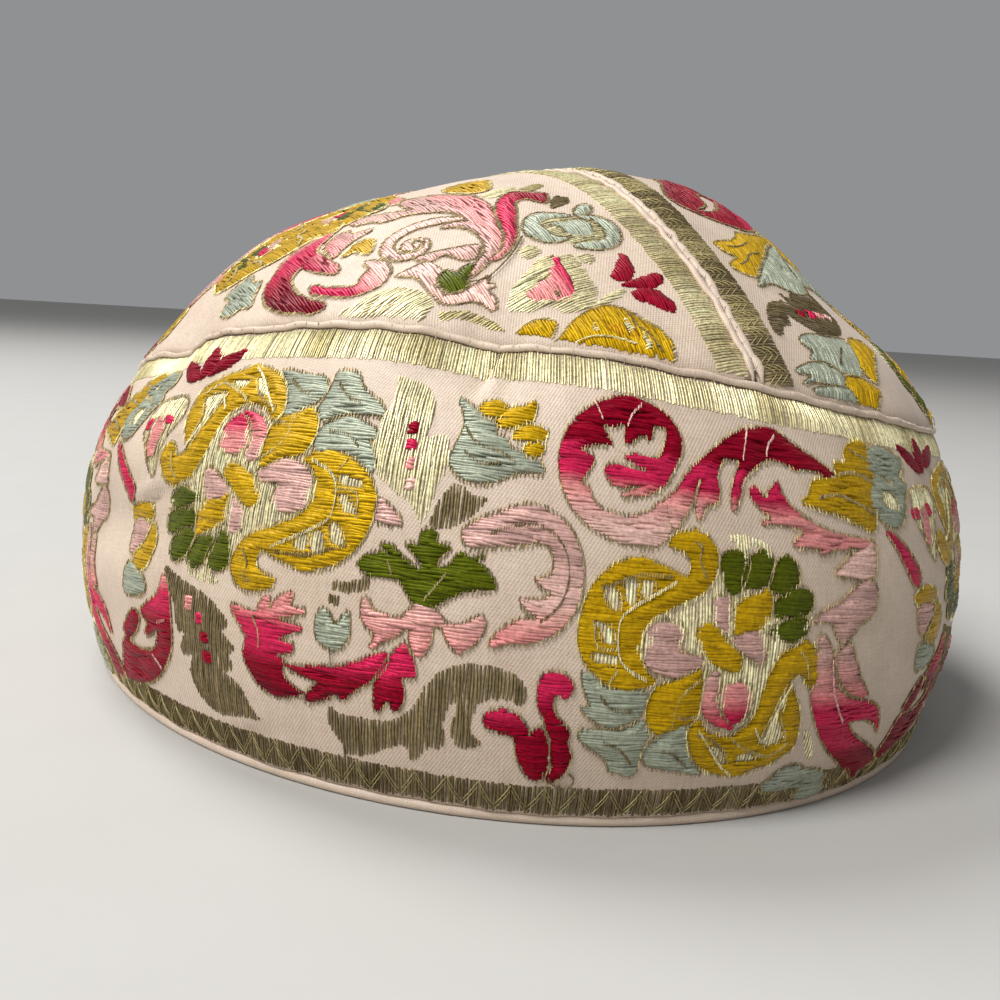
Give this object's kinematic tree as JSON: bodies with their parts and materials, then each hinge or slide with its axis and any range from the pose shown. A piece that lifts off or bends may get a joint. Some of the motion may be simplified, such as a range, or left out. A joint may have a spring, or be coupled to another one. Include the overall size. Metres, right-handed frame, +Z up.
{
  "type": "pillbox hat",
  "caption": "Soft round pillbox hat sewn from figured silk ribbon, with a band, a two-panel crown, rolled seam edges and an open hollow for the head.",
  "frame": {"origin": "on the surface that the rim rests on, under the middle of the hat", "axes": "+Z up, -Y towards the front end of the top seam, +X to the right of someone who faces the back from the front"},
  "size_m": [0.1766, 0.1996, 0.1027],
  "materials": {
    "band_silk": "figured silk ribbon, cream-pink twill ground with floats of coloured silk and gilt thread",
    "crown_silk": "figured silk ribbon, cream-pink twill ground with floats of coloured silk and gilt thread",
    "rolled_selvage": "rolled cream silk selvage, matt",
    "rim_selvage": "turned cream silk edge, matt"
  },
  "bodies": {
    "root": {"band": "band_silk", "top_panel_left": "crown_silk", "top_panel_right": "crown_silk", "band_edge_roll": "rolled_selvage", "seam_roll_left": "rolled_selvage", "seam_roll_right": "rolled_selvage", "rim_roll": "rim_selvage"}
  },
  "joints": []
}
